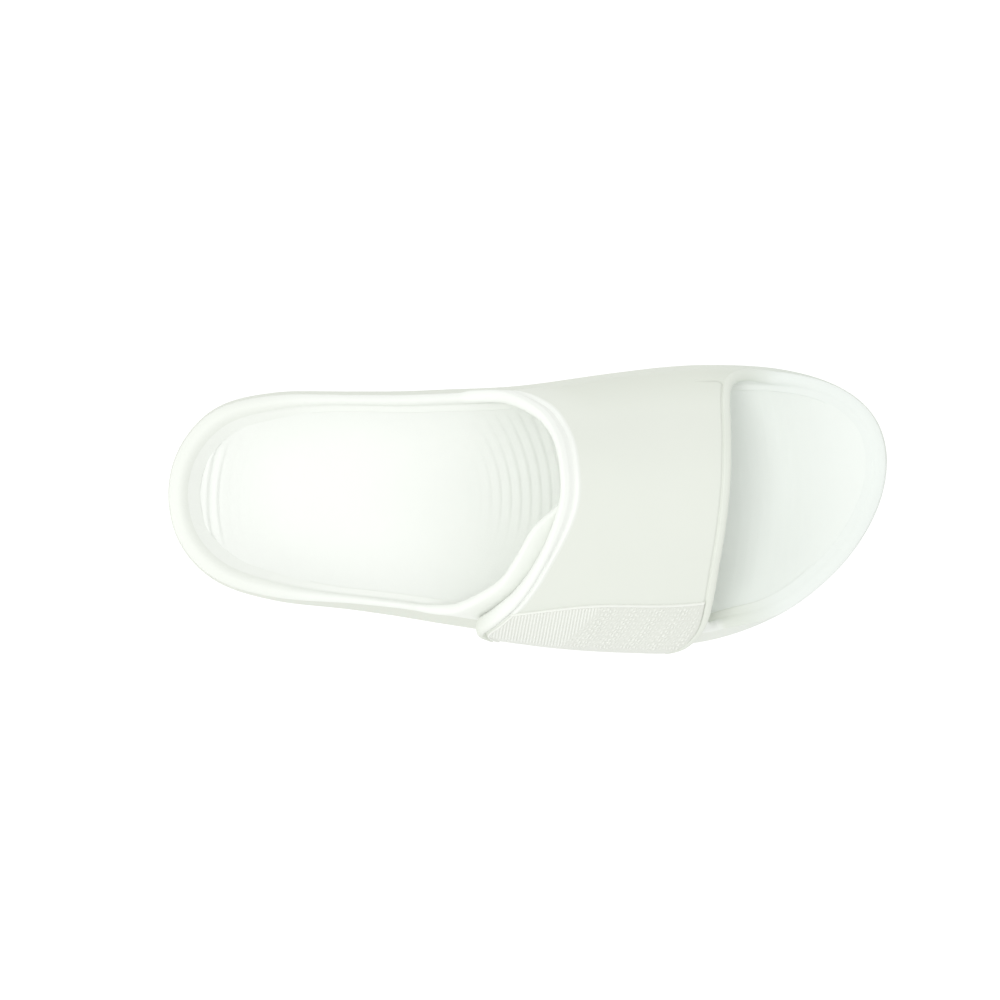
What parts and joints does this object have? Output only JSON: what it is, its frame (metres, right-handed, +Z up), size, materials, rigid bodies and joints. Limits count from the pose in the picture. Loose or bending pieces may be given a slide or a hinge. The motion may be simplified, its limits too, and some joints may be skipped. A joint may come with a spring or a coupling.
{
  "type": "sport slide sandal",
  "caption": "Right-foot slide sandal of white foam, with a wide band closed by hook and loop over a side tab, a cupped footbed and a waved tread.",
  "frame": {"origin": "middle of the bounding box, on the ground under the sole", "axes": "+X towards the toe, +Y towards the big-toe side, +Z up"},
  "size_m": [0.2868, 0.1162, 0.0826],
  "materials": {
    "moulded_foam": "matt closed-cell foam with a fine skin",
    "insole_foam": "matt soft foam",
    "fastener": "hook-and-loop tape",
    "grip": "studded soft rubber"
  },
  "bodies": {
    "root": {"sole_and_upper": "moulded_foam", "insole": "insole_foam", "loop_pad": "fastener", "hook_pad": "fastener", "grip_panel": "grip"}
  },
  "joints": []
}
